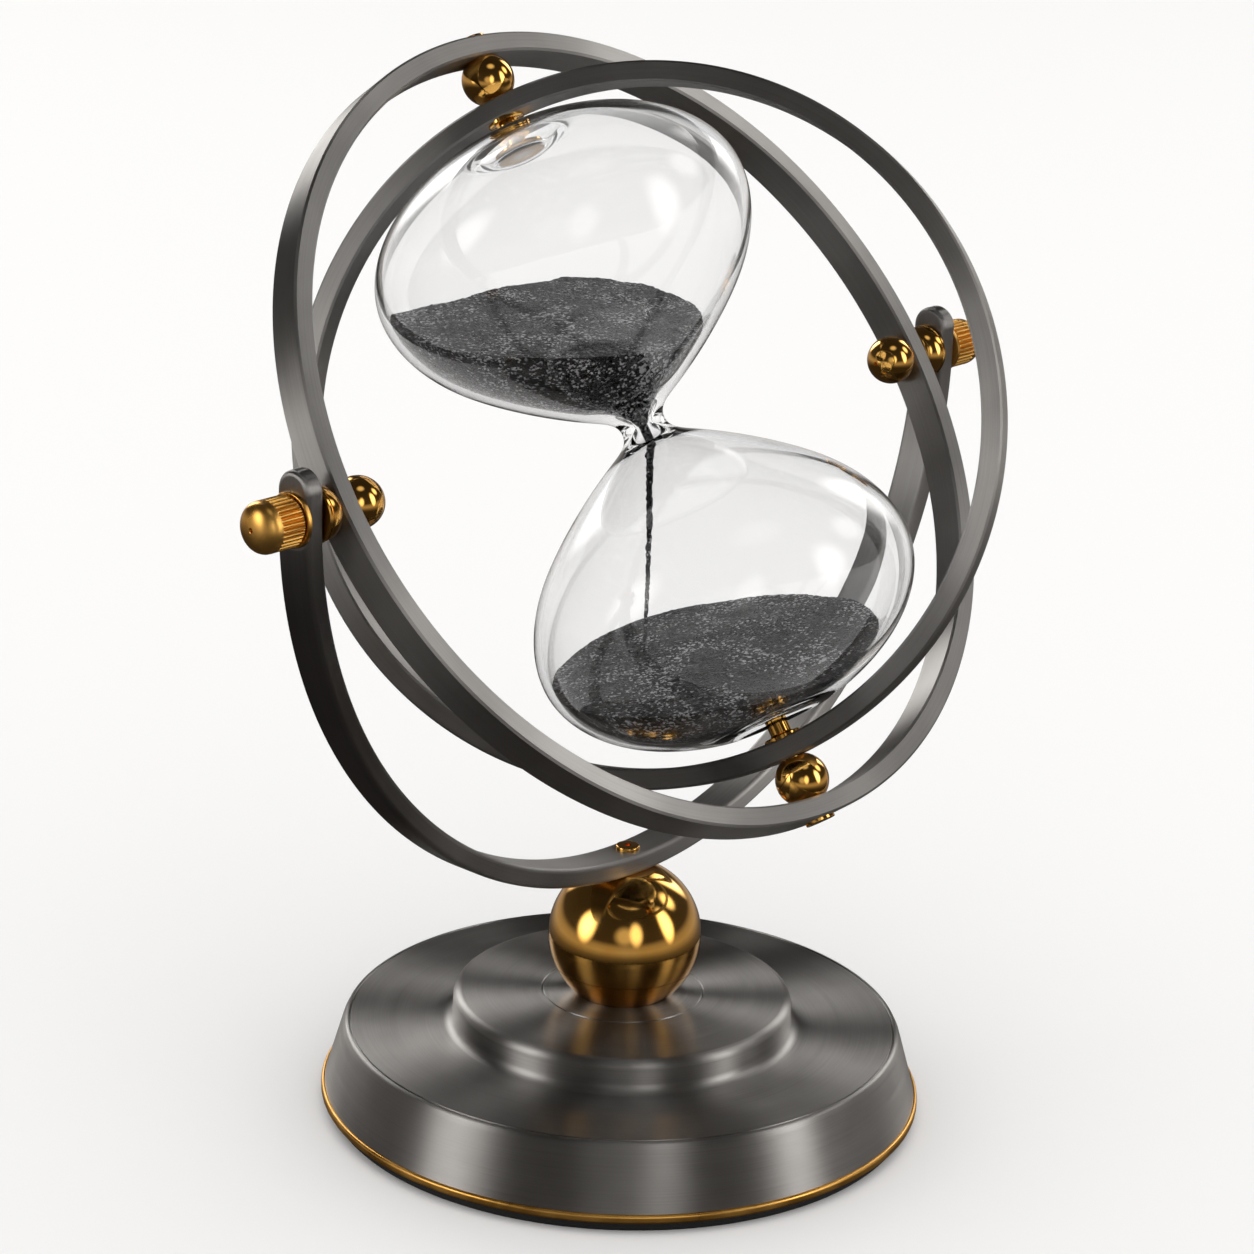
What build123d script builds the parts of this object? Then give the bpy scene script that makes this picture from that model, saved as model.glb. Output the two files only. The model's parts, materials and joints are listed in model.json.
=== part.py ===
from build123d import *
import os
from math import acos, cos, degrees, radians, sin, sqrt, tan

# Gimbal hourglass, in millimetres. +Z is up. The origin is the centre of the foot's underside.
# The yoke's pivot axis runs along X. Everything turned is drawn about its own axis and then placed.

# ---------------------------------------------------------------- driving dimensions
# Rings and yoke
ring_radius = 118.0          # outside of the outer ring
ring_depth = 5.8             # radial thickness of both rings
ring_width = 11.0            # width of both rings across their flat faces
ring_chamfer = 0.6
ring_gap = 12.4              # clear space from outer ring to inner ring
ring_spot = 0.3              # depth of the spot faces on both rings
yoke_gap = 7.0               # clear space from yoke to outer ring
yoke_depth = 5.8
yoke_width = 11.6
yoke_rise = 7.0              # straight part of each yoke arm above the pivot
yoke_edge = 1.5              # rounding of the yoke's long edges
outer_tilt = 36.0            # rest pose: outer ring leans back by this, degrees
inner_turn = 57.0            # rest pose: inner ring turned in the outer ring by this, degrees

# Base
skirt_radius = 85.4          # lower tier, at its bottom
skirt_lean = 5.4             # how much narrower the lower tier is at its top
skirt_height = 18.7
foot_height = 3.2
foot_inset = 1.0             # foot inside the skirt
foot_hole_radius = 14.0
trim_lip = 1.0               # trim outside the skirt
trim_height = 2.6
trim_width = 8.0
trim_edge = 0.8
tier_radius = 48.8           # upper tier, its upright wall
tier_rise = 9.5              # upper tier above the deck
tier_flare = 2.7             # how much wider its foot is
shoulder_radius = 2.6
groove_depth = 0.7
groove_width = 0.8
deck_bevel = 0.9
shell_wall = 2.5
ballast_gap = 1.5            # between ballast and shell
boss_radius = 18.0

# Ball under the yoke
ball_radius = 22.0
ball_sink = 4.5              # depth of the ball's seat in the base
ball_flat = 1.4              # height cut off the ball's top for the yoke
ball_foot_flat = 0.5
seat_gap = 0.1

# Fixings
bolt_radius = 4.0
bolt_head_radius = 7.3
bolt_head_height = 5.3
bolt_grip = 13.0             # bolt's reach into the ball
washer_radius = 8.6
washer_height = 1.6
hole_clearance = 0.05        # radial, of every shank, journal and bush
recess_clearance = 0.1       # radial, of the recesses that seat a ball or a flange
head_clearance = 0.3         # radial, of the spot faces round a head or a neck
small_edge = 0.35            # rounding of washers, heads and cups
pin_hole_radius = 0.55       # spanner holes in the balls and the knobs
pin_hole_depth = 1.2
socket_floor = 0.35          # metal left under a driving socket
past = 1.0                   # how far a cutter runs past the face that it cuts
yoke_screw_radius = 2.0
yoke_screw_length = 20.0
flat_head_radius = 3.4
flat_head_height = 1.4
socket_radius = 0.8

# Yoke pivots, along X
stud_radius = 2.5
bush_radius = 4.0
stud_grip = 7.0              # stud's reach into the ball nut and into the knob
ball_nut_cut = 2.4           # height cut off the ball nut for its seat
ball_nut_clearance = 1.1     # from ball nut to the inner ring as it passes
dome_radius = 7.6
dome_rim = 1.3
dome_neck_radius = 4.2
dome_neck_length = 0.4
dome_gap = 0.6               # running gap from spacer to yoke
knob_radius = 6.9
knob_grip_length = 8.2
knob_dome_height = 4.4
knob_flutes = 30
flute_radius = 0.42
knob_washer_radius = 7.3
knob_washer_height = 1.2
running_gap = 0.35           # between faces that turn on each other
spot_radius = 8.0            # spot faces for washers on the yoke
spot_depth = 0.25

# Ring pivots, along the hourglass axis
journal_radius = 2.0
journal_reach = 4.4          # how far the journal goes into the glass seat
spacer_ball_cut = 1.2        # height cut off each side of the ball between the rings
pivot_head_radius = 4.2
pivot_head_height = 1.2
seat_spigot_radius = 3.6
seat_flange_radius = 5.3
seat_flange_height = 1.3
seat_neck_radius = 3.0
seat_cup_radius = 7.0
seat_cup_height = 1.5
pad_height = 1.0

# Glass, half of the profile from the neck to one end, and its contents
glass_end_gap = 4.2          # from inner ring to the glass
glass_radius = 54.4
glass_crown = 34.8           # distance of the widest place from the end
glass_wall = 2.0
neck_radius = 6.2
neck_bore_radius = 1.7
punt_radius = 11.0           # dimple in each end
punt_floor_radius = 8.0
punt_depth = 4.4
sand_gap = 0.15              # between sand and glass
upper_sand_level = 24.0      # above the neck
lower_sand_level = -58.0     # on the hourglass axis
lower_sand_slope = 9.5       # degrees, rising sideways
lower_sand_heading = -47.5   # compass direction in which the slope rises, degrees from +X
stream_radius = 1.1          # where it leaves the neck
stream_foot_radius = 0.7
stream_bend = 0.09           # where it leaves the neck's bore, as a share of the way to the belly

# ---------------------------------------------------------------- derived places
outer_bore = ring_radius - ring_depth
inner_radius = outer_bore - ring_gap
inner_bore = inner_radius - ring_depth
yoke_bore = ring_radius + yoke_gap
yoke_radius = yoke_bore + yoke_depth
skirt_bottom = foot_height + trim_height
deck_height = skirt_bottom + skirt_height
deck_radius = skirt_radius - skirt_lean
tier_height = deck_height + tier_rise
tier_foot_radius = tier_radius + tier_flare
trim_radius = skirt_radius + trim_lip
trim_bore = trim_radius - trim_width
foot_radius = skirt_radius - foot_inset
ball_centre = tier_height + ball_radius - ball_sink
ball_top = ball_centre + ball_radius - ball_flat
ball_bottom = ball_centre - ball_radius + ball_foot_flat
bolt_face = foot_height + ballast_gap + bolt_head_height + washer_height
centre = ball_top + yoke_radius - spot_depth         # height of the gimbal's centre
glass_half_length = inner_bore - glass_end_gap
glass_belly = glass_half_length - glass_crown
punt_floor = glass_half_length - punt_depth
cup_bottom = punt_floor + pad_height
cup_top = cup_bottom + seat_cup_height
outer_face = ring_radius - ring_spot                 # spot face outside the outer ring
nut_face = outer_bore + ring_spot                    # spot face inside the outer ring
flange_face = inner_bore + ring_spot                 # spot face inside the inner ring
washer_face = yoke_radius - spot_depth               # spot face outside the yoke
screw_face = -yoke_bore - spot_depth                 # spot face under the yoke screw's head
knob_face = washer_face + knob_washer_height + running_gap
stud_tip = knob_face + stud_grip
stud_root = nut_face - stud_grip
ball_nut_tip = inner_radius + ball_nut_clearance
ball_nut_radius = (nut_face - ball_nut_tip + ball_nut_cut) / 2
nut_centre = ball_nut_tip + ball_nut_radius
nut_mouth = sqrt(ball_nut_radius**2 - (outer_bore - nut_centre) ** 2)     # where it enters the ring
spacer_face = inner_radius + running_gap
spacer_centre = (nut_face + spacer_face) / 2
spacer_ball_radius = (nut_face - spacer_face) / 2 + spacer_ball_cut
spacer_mouth = sqrt(spacer_ball_radius**2 - (outer_bore - spacer_centre) ** 2)

# The frames in which the moving pieces are drawn
gimbal = Location((0, 0, centre))
outer_frame = gimbal * Rot(-outer_tilt, 0, 0)
inner_frame = outer_frame * Rot(0, 0, -inner_turn)


# ---------------------------------------------------------------- helpers
def turned(*points):
    """A solid of revolution about Z from (radius, height) points."""
    return revolve(make_face(Plane.XZ * Polyline(*points, close=True)), Axis.Z)


def rod(radius, bottom, top):
    """A cylinder about Z from one height to another."""
    return Pos(0, 0, bottom) * Cylinder(radius, top - bottom, align=(Align.CENTER, Align.CENTER, Align.MIN))


def along_x(shape, side):
    """Stands a piece drawn about +Z along +X (side 1) or -X (side -1)."""
    return Rot(0, 90 * side, 0) * shape


def along_z(shape, side):
    """Leaves a piece drawn about +Z upright (side 1) or points it down (side -1)."""
    return shape if side > 0 else Rot(180, 0, 0) * shape


def flat_ring(radius, bore):
    """A ring in the XZ plane with chamfered corners."""
    section = Rectangle(radius - bore, ring_width)
    section = chamfer(section.vertices(), ring_chamfer)
    section = Pos((radius + bore) / 2, 0) * section
    return Rot(90, 0, 0) * revolve(Plane.XZ * section, Axis.Z)


# ---------------------------------------------------------------- base
def base_foot_pad():
    return rod(foot_radius, 0, foot_height) - rod(foot_hole_radius, 0, foot_height)


def base_trim_ring():
    ring = rod(trim_radius, foot_height, skirt_bottom)
    ring = fillet(ring.edges().filter_by(GeomType.CIRCLE), trim_edge)
    return ring - rod(trim_bore, foot_height, skirt_bottom)


def base_shell():
    """Spun shell of the lower tier, open underneath, with a groove below its bevelled edge."""
    lean = skirt_lean / skirt_height
    groove_top = deck_height - deck_bevel - groove_width
    groove_bottom = groove_top - groove_width

    def wall_at(height):
        return skirt_radius - lean * (height - skirt_bottom)

    shell = turned(
        (0, deck_height - shell_wall),
        (deck_radius - shell_wall, deck_height - shell_wall),
        (skirt_radius - shell_wall, skirt_bottom),
        (skirt_radius, skirt_bottom),
        (wall_at(groove_bottom), groove_bottom),
        (wall_at(groove_bottom) - groove_depth, groove_bottom),
        (wall_at(groove_top) - groove_depth, groove_top),
        (wall_at(groove_top), groove_top),
        (deck_radius, deck_height - deck_bevel),
        (deck_radius - deck_bevel, deck_height),
        (0, deck_height),
    )
    return shell - rod(bolt_radius + hole_clearance, 0, deck_height)


def base_plinth():
    """Solid turned disc of the upper tier: coved foot, round shoulder and the ball's seat."""
    with BuildSketch(Plane.XZ) as profile:
        with BuildLine():
            cove = RadiusArc(
                (tier_foot_radius, deck_height), (tier_radius, deck_height + tier_flare), -tier_flare
            )
            wall = Line(cove @ 1, (tier_radius, tier_height - shoulder_radius))
            shoulder = RadiusArc(
                wall @ 1, (tier_radius - shoulder_radius, tier_height), -shoulder_radius
            )
            Polyline(shoulder @ 1, (0, tier_height), (0, deck_height), cove @ 0)
        make_face()
    seat = Pos(0, 0, ball_centre) * Sphere(ball_radius + seat_gap)
    seat = seat & rod(ball_radius * 2, ball_bottom, ball_centre)
    bore = rod(bolt_radius + hole_clearance, deck_height, tier_height)
    return revolve(profile.sketch, Axis.Z) - seat - bore


def base_ballast():
    """Cast weight that fills the shell, with a boss that meets the underside of its deck."""
    top = deck_height - shell_wall - ballast_gap
    body = turned(
        (0, foot_height),
        (trim_bore - ballast_gap, foot_height),
        (trim_bore - ballast_gap, skirt_bottom + ballast_gap),
        (deck_radius - shell_wall - ballast_gap, top),
        (boss_radius, top),
        (boss_radius, deck_height - shell_wall),
        (0, deck_height - shell_wall),
    )
    recess = rod(washer_radius + ballast_gap, foot_height, bolt_face)
    return body - recess - rod(bolt_radius + hole_clearance, foot_height, tier_height)


def base_bolt():
    head = Pos(0, 0, bolt_face - washer_height - bolt_head_height) * extrude(
        RegularPolygon(bolt_head_radius, 6), bolt_head_height
    )
    return head + rod(bolt_radius, bolt_face - washer_height - past, ball_bottom + bolt_grip)


def base_bolt_washer():
    bottom = bolt_face - washer_height
    return rod(washer_radius, bottom, bolt_face) - rod(bolt_radius + hole_clearance, bottom, bolt_face)


def base_ball():
    ball = Pos(0, 0, ball_centre) * Sphere(ball_radius)
    ball = ball & rod(ball_radius * 2, ball_bottom, ball_top)
    bolt_hole = rod(bolt_radius + hole_clearance, ball_bottom, ball_bottom + bolt_grip + past)
    screw_hole = rod(yoke_screw_radius + hole_clearance, ball_top - yoke_screw_length, ball_top)
    return ball - bolt_hole - screw_hole


# ---------------------------------------------------------------- yoke
def yoke():
    """Half ring with two upright arms whose tops are round, drawn about the gimbal's centre."""
    arm_top = yoke_rise + yoke_width / 2
    strip = Circle(yoke_radius) & Pos(0, -yoke_radius) * Rectangle(yoke_radius * 2, yoke_radius * 2)
    strip += Pos(0, arm_top / 2) * Rectangle(yoke_radius * 2, arm_top)
    strip -= Circle(yoke_bore)
    strip -= Pos(0, arm_top / 2) * Rectangle(yoke_bore * 2, arm_top)
    bar = extrude(Plane.XZ * strip, yoke_width / 2, both=True)
    end_view = Pos(0, -yoke_radius) * Rectangle(yoke_width, yoke_radius * 2)
    end_view += Pos(0, yoke_rise / 2) * Rectangle(yoke_width, yoke_rise)
    end_view += Pos(0, yoke_rise) * Circle(yoke_width / 2)
    bar = bar & extrude(Plane.YZ * end_view, yoke_radius * 2, both=True)
    bar = fillet(bar.faces().filter_by(Axis.Y).edges(), yoke_edge)
    for side in (1, -1):
        hole = rod(bush_radius, yoke_bore - past, yoke_radius + past)
        spot = rod(spot_radius, washer_face, yoke_radius + past)
        bar -= along_x(hole + spot, side)
    bar -= rod(yoke_screw_radius + hole_clearance, -yoke_radius - past, -yoke_bore + past)
    bar -= rod(flat_head_radius + head_clearance, screw_face, -yoke_bore + yoke_depth)
    bar -= rod(spot_radius * 2, -yoke_radius - past, ball_top - centre)
    return gimbal * bar


def yoke_screw():
    screw = rod(flat_head_radius, screw_face, screw_face + flat_head_height)
    screw = fillet(screw.edges().sort_by(Axis.Z)[-1], small_edge)
    screw += rod(yoke_screw_radius, screw_face - yoke_screw_length + past, screw_face + small_edge)
    screw -= rod(socket_radius, screw_face + socket_floor, screw_face + flat_head_height)
    return gimbal * screw


def yoke_bush(side):
    bush = rod(bush_radius, yoke_bore + spot_depth, washer_face)
    bush -= rod(stud_radius + hole_clearance, yoke_bore, yoke_radius)
    return gimbal * along_x(bush, side)


def knob_washer(side):
    top = washer_face + knob_washer_height
    washer = rod(knob_washer_radius, washer_face, top)
    washer = fillet(washer.edges().sort_by(Axis.Z)[-1], small_edge)
    washer -= rod(stud_radius + hole_clearance, washer_face, top)
    return gimbal * along_x(washer, side)


# ---------------------------------------------------------------- clamp knobs
def knob(side):
    """Fluted grip with a domed end and a blind threaded bore."""
    grip_top = knob_face + knob_grip_length
    grip = rod(knob_radius, knob_face, grip_top)
    grip = chamfer(grip.edges().sort_by(Axis.Z)[0], small_edge)
    flute = rod(flute_radius, knob_face - past, grip_top)
    grip -= [
        Rot(0, 0, 360 * turn / knob_flutes) * Pos(knob_radius, 0, 0) * flute
        for turn in range(knob_flutes)
    ]
    curve = (knob_radius**2 + knob_dome_height**2) / (2 * knob_dome_height)
    dome = Pos(0, 0, grip_top + knob_dome_height - curve) * Sphere(curve)
    tip = grip_top + knob_dome_height
    dome = dome & rod(knob_radius, grip_top, tip + past)
    knob_body = grip + dome
    knob_body -= rod(stud_radius + hole_clearance, knob_face - past, stud_tip + running_gap)
    knob_body -= rod(pin_hole_radius, tip - pin_hole_depth, tip + past)
    return outer_frame * along_x(knob_body, side)


# ---------------------------------------------------------------- outer ring and its pivots
def outer_ring():
    ring = flat_ring(ring_radius, outer_bore)
    for side in (1, -1):
        stud_hole = rod(stud_radius + hole_clearance, outer_bore - past, ring_radius + past)
        stud_hole += rod(dome_neck_radius + head_clearance, outer_face, ring_radius + past)
        stud_hole += rod(nut_mouth + recess_clearance, outer_bore - past, nut_face)
        ring -= along_x(stud_hole, side)
        screw_hole = rod(journal_radius + hole_clearance, outer_bore - past, ring_radius + past)
        screw_hole += rod(pivot_head_radius + head_clearance, outer_face, ring_radius + past)
        screw_hole += rod(spacer_mouth + recess_clearance, outer_bore - past, nut_face)
        ring -= along_z(screw_hole, side)
    return outer_frame * ring


def pivot_stud(side):
    return outer_frame * along_x(rod(stud_radius, stud_root, stud_tip), side)


def ball_nut(side):
    """Ball with one flat, threaded on the stud inside the outer ring."""
    nut = Pos(0, 0, nut_centre) * Sphere(ball_nut_radius)
    nut = nut & rod(ball_nut_radius * 2, nut_centre - ball_nut_radius * 2, nut_face)
    nut -= rod(stud_radius + hole_clearance, stud_root, nut_face)
    tip = nut_centre - ball_nut_radius
    nut -= rod(pin_hole_radius, tip - past, tip + pin_hole_depth)
    return outer_frame * along_x(nut, side)


def dome_spacer(side):
    """Domed collar on the stud between outer ring and yoke, its flat face to the yoke."""
    top = yoke_bore - dome_gap
    rim = top - dome_rim
    with BuildSketch(Plane.XZ) as profile:
        with BuildLine():
            neck = Line((stud_radius + hole_clearance, outer_face), (dome_neck_radius, outer_face))
            crown = EllipticalCenterArc(
                (dome_neck_radius, rim),
                dome_radius - dome_neck_radius,
                rim - outer_face - dome_neck_length,
                start_angle=-90,
                arc_size=90,
            )
            Line(neck @ 1, crown @ 0)
            edge = Line(crown @ 1, (dome_radius, top))
            face = Line(edge @ 1, (stud_radius + hole_clearance, top))
            Line(face @ 1, neck @ 0)
        make_face()
    return outer_frame * along_x(revolve(profile.sketch, Axis.Z), side)


def spacer_ball(side):
    """Ball with two flats that fills the space between the rings."""
    ball = Pos(0, 0, spacer_centre) * Sphere(spacer_ball_radius)
    ball = ball & rod(spacer_ball_radius * 2, spacer_face, nut_face)
    ball -= rod(journal_radius + hole_clearance, spacer_face - past, nut_face + past)
    return outer_frame * along_z(ball, side)


def pivot_screw(side):
    """Flat-headed screw whose plain end is the inner ring's journal."""
    screw = rod(pivot_head_radius, outer_face, outer_face + pivot_head_height)
    screw = fillet(screw.edges().sort_by(Axis.Z)[-1], small_edge)
    screw += rod(journal_radius, inner_radius - ring_spot - journal_reach, outer_face + small_edge)
    screw -= rod(socket_radius, outer_face + socket_floor, outer_face + pivot_head_height)
    return outer_frame * along_z(screw, side)


# ---------------------------------------------------------------- inner ring and the glass seats
def inner_ring():
    ring = flat_ring(inner_radius, inner_bore)
    for side in (1, -1):
        hole = rod(seat_spigot_radius, inner_bore - past, inner_radius + past)
        hole += rod(seat_flange_radius + recess_clearance, inner_bore - past, flange_face)
        ring -= along_z(hole, side)
    return inner_frame * ring


def glass_seat(side):
    """Turned stud in the inner ring: bearing bore outside, cup for the glass inside."""
    spigot_top = inner_radius - ring_spot
    flange_bottom = flange_face - seat_flange_height
    seat = rod(seat_cup_radius, cup_bottom, cup_top)
    seat = fillet(seat.edges().filter_by(GeomType.CIRCLE), small_edge)
    seat += rod(seat_neck_radius, cup_bottom + small_edge, flange_face)
    seat += rod(seat_flange_radius, flange_bottom, flange_face)
    seat += rod(seat_spigot_radius, flange_bottom, spigot_top)
    seat -= rod(
        journal_radius + hole_clearance,
        spigot_top - journal_reach - running_gap,
        spigot_top + past,
    )
    return inner_frame * along_z(seat, side)


def glass_pad(side):
    return inner_frame * along_z(rod(seat_cup_radius, punt_floor, cup_bottom), side)


# ---------------------------------------------------------------- glass and sand
def bulb_side(inset, neck):
    """Outline of one bulb from the neck to its widest place, set in by a distance."""
    outside = Spline(
        (neck_radius, 0),
        (neck_radius * 1.9, glass_belly * 0.114),
        (glass_radius * 0.507, glass_belly * 0.297),
        (glass_radius * 0.857, glass_belly * 0.617),
        (glass_radius, glass_belly),
        tangents=((0, 1), (0, 1)),
    )
    if inset == 0:
        return outside
    points = [(neck, 0)]
    for station in (0.25, 0.4, 0.55, 0.7, 0.85, 1.0):
        spot = outside @ station
        heading = outside % station
        points.append((spot.X - heading.Y * inset, spot.Y + heading.X * inset))
    return Spline(*points, tangents=((0, 1), (0, 1)))


def bulb_solid(inset, neck):
    """One bulb filled solid, its surface set in by a distance, with a neck of its own radius."""
    crown_height = (glass_half_length - glass_belly) / sqrt(1 - (punt_radius / glass_radius) ** 2)
    crown_end = degrees(acos((punt_radius + inset) / (glass_radius - inset)))
    floor = punt_floor - inset
    side = bulb_side(inset, neck)
    with BuildSketch(Plane.XZ) as profile:
        with BuildLine():
            add(side)
            crown = EllipticalCenterArc(
                (0, glass_belly), glass_radius - inset, crown_height - inset, arc_size=crown_end
            )
            dimple = Line(crown @ 1, (punt_floor_radius + inset / 2, floor))
            base = Line(dimple @ 1, (0, floor))
            axis = Line(base @ 1, (0, 0))
            Line(axis @ 1, (neck, 0))
        make_face()
    return revolve(profile.sketch, Axis.Z)


def both_ends(shape):
    return shape + Rot(180, 0, 0) * shape


def glass():
    """Blown vessel: two bulbs joined at the neck, closed, with a dimple in each end."""
    outside = both_ends(bulb_solid(0, neck_radius))
    inside = both_ends(bulb_solid(glass_wall, neck_bore_radius))
    inside += rod(neck_bore_radius, -neck_radius, neck_radius)
    return inner_frame * (outside - inside)


def sand_space(side):
    """What sand can fill in one bulb: its inside less a hair of clearance."""
    return inner_frame * along_z(bulb_solid(glass_wall + sand_gap, neck_bore_radius - sand_gap), side)


def sand_upper():
    size = glass_radius * 4
    slab = Box(size, size, upper_sand_level * 2, align=(Align.CENTER, Align.CENTER, Align.MAX))
    slab = Pos(0, 0, centre + upper_sand_level) * slab
    return sand_space(1) & slab


def lower_plane():
    """Surface of the lower heap: through the hourglass axis, sloping sideways."""
    lean = radians(outer_tilt)
    spot = (0, lower_sand_level * tan(lean), centre + lower_sand_level)
    heading = radians(lower_sand_heading)
    slope = radians(lower_sand_slope)
    up = (-sin(slope) * cos(heading), -sin(slope) * sin(heading), cos(slope))
    return Plane(origin=spot, z_dir=up)


def sand_lower():
    size = glass_radius * 4
    block = Box(size, size, size, align=(Align.CENTER, Align.CENTER, Align.MAX))
    return sand_space(-1) & (lower_plane() * block)


def sand_stream():
    """Thread of sand: down the neck's slanting bore, then plumb to the lower heap."""
    plane = lower_plane()
    normal = plane.z_dir
    origin = plane.origin
    lean = radians(outer_tilt)
    reach = stream_bend * glass_belly
    bend = Vector(0, -reach * sin(lean), centre - reach * cos(lean))
    foot = origin.Z + (normal.X * origin.X + normal.Y * (origin.Y - bend.Y)) / normal.Z
    upright = (Align.CENTER, Align.CENTER, Align.MIN)
    fall = Pos(0, bend.Y, foot) * Cone(stream_foot_radius, stream_radius, bend.Z - foot, align=upright)
    in_neck = inner_frame * rod(neck_bore_radius - sand_gap, -reach, 0)
    return (fall + in_neck + Pos(*bend) * Sphere(stream_radius) & sand_space(-1)) - sand_lower()


# ---------------------------------------------------------------- write one file for each piece
def write(name, shape):
    shape.label = name
    export_step(shape, f"parts/{name}.step")


os.makedirs("parts", exist_ok=True)

for build in (
    base_foot_pad,
    base_trim_ring,
    base_shell,
    base_plinth,
    base_ballast,
    base_bolt,
    base_bolt_washer,
    base_ball,
    yoke,
    yoke_screw,
    outer_ring,
    inner_ring,
    glass,
    sand_upper,
    sand_stream,
    sand_lower,
):
    write(build.__name__, build())

for name, side in (("left", -1), ("right", 1)):
    for build in (yoke_bush, knob_washer, knob, pivot_stud, ball_nut, dome_spacer):
        write(f"{build.__name__}_{name}", build(side))

for name, side in (("upper", 1), ("lower", -1)):
    for build in (pivot_screw, spacer_ball, glass_seat, glass_pad):
        write(f"{build.__name__}_{name}", build(side))
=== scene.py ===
import json
import math
import random

import bpy
from mathutils import Matrix, Vector


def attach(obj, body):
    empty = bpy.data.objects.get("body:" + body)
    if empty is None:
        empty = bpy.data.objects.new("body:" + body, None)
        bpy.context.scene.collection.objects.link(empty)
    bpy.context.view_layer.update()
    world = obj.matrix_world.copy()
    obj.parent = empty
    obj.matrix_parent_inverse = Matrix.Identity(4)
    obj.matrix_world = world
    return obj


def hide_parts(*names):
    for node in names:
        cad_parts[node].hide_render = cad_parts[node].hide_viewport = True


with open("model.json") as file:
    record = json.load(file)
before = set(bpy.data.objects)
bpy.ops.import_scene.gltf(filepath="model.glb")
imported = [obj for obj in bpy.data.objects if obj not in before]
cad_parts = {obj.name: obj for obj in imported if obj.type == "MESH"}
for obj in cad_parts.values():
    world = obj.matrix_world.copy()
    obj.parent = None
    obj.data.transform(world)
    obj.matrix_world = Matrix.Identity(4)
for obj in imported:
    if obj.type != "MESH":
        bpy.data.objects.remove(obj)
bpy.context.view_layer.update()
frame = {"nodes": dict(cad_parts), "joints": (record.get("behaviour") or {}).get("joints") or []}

# Gimbal hourglass on a weighted base. Outlines are in millimetres, everything placed is in metres.
MM = 0.001
FACETS = 96                       # sides of a small turned piece
RING_FACETS = 288                 # sides of the rings and the base
BIT_FACETS = 64                   # sides of a drilled hole
RUN_OUT = 1                       # how far a bit starts and stops outside the wall that it drills
ON_PLANE = 0.01                   # how near to a plane a vertex has to be to count as lying on it
SMOOTH_BELOW = math.radians(32)   # edges flatter than this are shaded as one surface
SOFT_SHADED = ("clear_glass", "black_sand")     # slots whose pieces have no flat machined faces

# ---------------------------------------------------------------- frames of the moving bodies
joint = {row["name"]: row for row in frame["joints"]}
centre = Vector(joint["outer_ring_tilt"]["pos_m"])
glass_axis = Vector(joint["inner_ring_turn"]["axis"])
ring_tilt = math.atan2(glass_axis.y, glass_axis.z)
inner_ring_rest = math.radians(57)      # how far the inner ring stands turned in the outer one

BASE = Matrix.Identity(4)
GIMBAL = Matrix.Translation(centre)
OUTER = GIMBAL @ Matrix.Rotation(-ring_tilt, 4, "X")
INNER = OUTER @ Matrix.Rotation(-inner_ring_rest, 4, "Z")
UPSIDE_DOWN = Matrix.Rotation(math.pi, 4, "X")
TO_RIGHT = Matrix.Rotation(math.pi / 2, 4, "Y")
TO_LEFT = Matrix.Rotation(-math.pi / 2, 4, "Y")
RING_PLANE = Matrix.Rotation(math.pi / 2, 4, "X")     # stands a ring drawn flat into its upright plane


def reach(node_name, place):
    """Lowest and highest corner of a CAD node in a piece's own frame, in millimetres."""
    back = place.inverted()
    spots = [back @ vertex.co / MM for vertex in frame["nodes"][node_name].data.vertices]
    low = Vector(min(spot[i] for spot in spots) for i in range(3))
    high = Vector(max(spot[i] for spot in spots) for i in range(3))
    return low, high


# ---------------------------------------------------------------- modelling by hand
def clear_selection():
    if bpy.context.object and bpy.context.object.mode != "OBJECT":
        bpy.ops.object.mode_set(mode="OBJECT")
    bpy.ops.object.select_all(action="DESELECT")


def pick_only(piece):
    clear_selection()
    piece.select_set(True)
    bpy.context.view_layer.objects.active = piece
    return piece


def start_editing(selected="SELECT"):
    """Enters edit mode with everything or nothing selected."""
    bpy.ops.object.mode_set(mode="EDIT")
    bpy.ops.mesh.select_all(action=selected)


def close_up(piece):
    """Caps a piece's open ends, points its faces outwards and leaves edit mode."""
    bpy.ops.mesh.select_all(action="SELECT")
    bpy.ops.mesh.fill_holes(sides=0)
    bpy.ops.mesh.select_all(action="SELECT")
    bpy.ops.mesh.normals_make_consistent(inside=False)
    bpy.ops.object.mode_set(mode="OBJECT")
    return piece


def turn(outline, facets=FACETS, bored=False):
    """A turned piece about Z: a circle is extruded and scaled from one (radius, height) to the next.

    A bored piece closes onto itself, and any other is capped at both ends."""
    clear_selection()
    radius, height = outline[0]
    bpy.ops.mesh.primitive_circle_add(vertices=facets, radius=radius * MM)
    piece = bpy.context.object
    start_editing()
    bpy.ops.transform.translate(value=(0, 0, height * MM))
    for (radius, height), (next_radius, next_height) in zip(outline, outline[1:]):
        rise = (0, 0, (next_height - height) * MM)
        bpy.ops.mesh.extrude_edges_move(TRANSFORM_OT_translate={"value": rise})
        growth = next_radius / radius
        middle = (0, 0, next_height * MM)
        bpy.ops.transform.resize(value=(growth, growth, 1), center_override=middle)
    if bored:
        bpy.ops.mesh.select_all(action="DESELECT")
        bpy.ops.mesh.select_non_manifold()
        bpy.ops.mesh.bridge_edge_loops()
    return close_up(piece)


def arc(middle, radius, start, end, steps):
    """Points of an arc in an outline: middle is (radius, height), angles in degrees from outwards."""
    turns = [math.radians(start + (end - start) * step / steps) for step in range(steps + 1)]
    return [(middle[0] + radius * math.cos(t), middle[1] + radius * math.sin(t)) for t in turns]


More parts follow.
